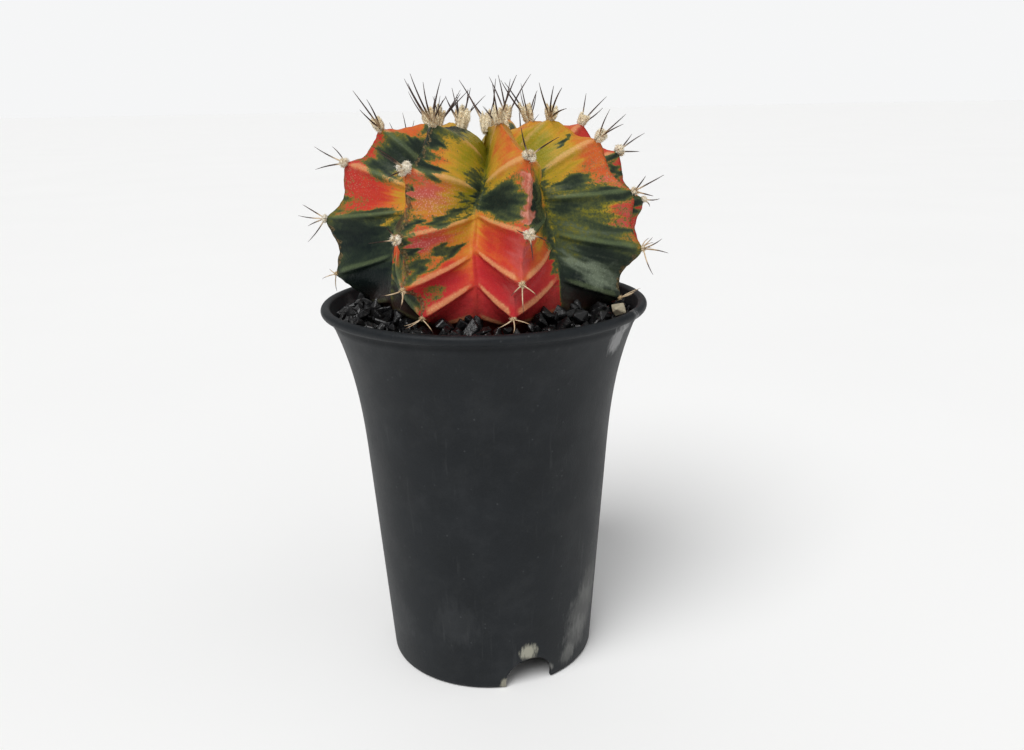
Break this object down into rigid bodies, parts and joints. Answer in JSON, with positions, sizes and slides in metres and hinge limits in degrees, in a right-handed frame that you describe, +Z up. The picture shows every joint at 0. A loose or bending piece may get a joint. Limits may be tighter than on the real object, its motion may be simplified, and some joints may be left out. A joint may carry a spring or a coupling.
{
  "type": "potted moon cactus",
  "caption": "Small variegated globe cactus with sharp ribs and clusters of woolly spines, standing in crushed stone in a tall flared plastic nursery pot",
  "frame": {"origin": "centre of the foot ring, on the surface that the pot stands on, which is also the middle of the box's underside", "axes": "+Z up; the front of the plant, between the front_left and the right rib, looks along -Y; +X to the viewer's right"},
  "size_m": [0.083, 0.0799, 0.1383],
  "materials": {
    "pot_plastic": "matt, fine grain, faint scuffs",
    "potting_mix": "loose, dark and damp",
    "crushed_stone": "black, glossy broken faces",
    "pale_stone": "dull beige",
    "skin": "waxy, red, orange and yellow with dark green patches",
    "spine_and_wool": "cream felt and woody spines, brown to black at the crown"
  },
  "bodies": {
    "root": {"pot": "pot_plastic", "potting_mix": "potting_mix", "gravel_bed": "crushed_stone", "pale_stone": "pale_stone", "stem": "skin", "stone_1": "crushed_stone", "stone_2": "crushed_stone", "stone_3": "crushed_stone", "stone_4": "crushed_stone", "stone_5": "crushed_stone", "stone_6": "crushed_stone", "stone_7": "crushed_stone", "stone_8": "crushed_stone", "stone_9": "crushed_stone", "stone_10": "crushed_stone", "stone_11": "crushed_stone", "stone_12": "crushed_stone", "stone_13": "crushed_stone", "stone_14": "crushed_stone", "stone_15": "crushed_stone", "areole_left_1": "spine_and_wool", "areole_left_2": "spine_and_wool", "areole_left_3": "spine_and_wool", "areole_left_4": "spine_and_wool", "areole_left_5": "spine_and_wool", "areole_front_left_1": "spine_and_wool", "areole_front_left_2": "spine_and_wool", "areole_front_left_3": "spine_and_wool", "areole_front_left_4": "spine_and_wool", "areole_front_left_5": "spine_and_wool", "areole_front_left_6": "spine_and_wool", "areole_front_1": "spine_and_wool", "areole_front_2": "spine_and_wool", "areole_front_3": "spine_and_wool", "areole_front_4": "spine_and_wool", "areole_front_5": "spine_and_wool", "areole_front_6": "spine_and_wool", "areole_right_1": "spine_and_wool", "areole_right_2": "spine_and_wool", "areole_right_3": "spine_and_wool", "areole_right_4": "spine_and_wool", "areole_right_5": "spine_and_wool", "areole_right_6": "spine_and_wool", "areole_back_right_1": "spine_and_wool", "areole_back_right_2": "spine_and_wool", "areole_back_right_3": "spine_and_wool", "areole_back_right_4": "spine_and_wool", "areole_back_right_5": "spine_and_wool", "areole_back_1": "spine_and_wool", "areole_back_2": "spine_and_wool", "areole_back_3": "spine_and_wool", "areole_back_4": "spine_and_wool", "areole_back_5": "spine_and_wool", "areole_back_left_1": "spine_and_wool", "areole_back_left_2": "spine_and_wool", "areole_back_left_3": "spine_and_wool", "areole_back_left_4": "spine_and_wool", "areole_back_left_5": "spine_and_wool"}
  },
  "joints": []
}
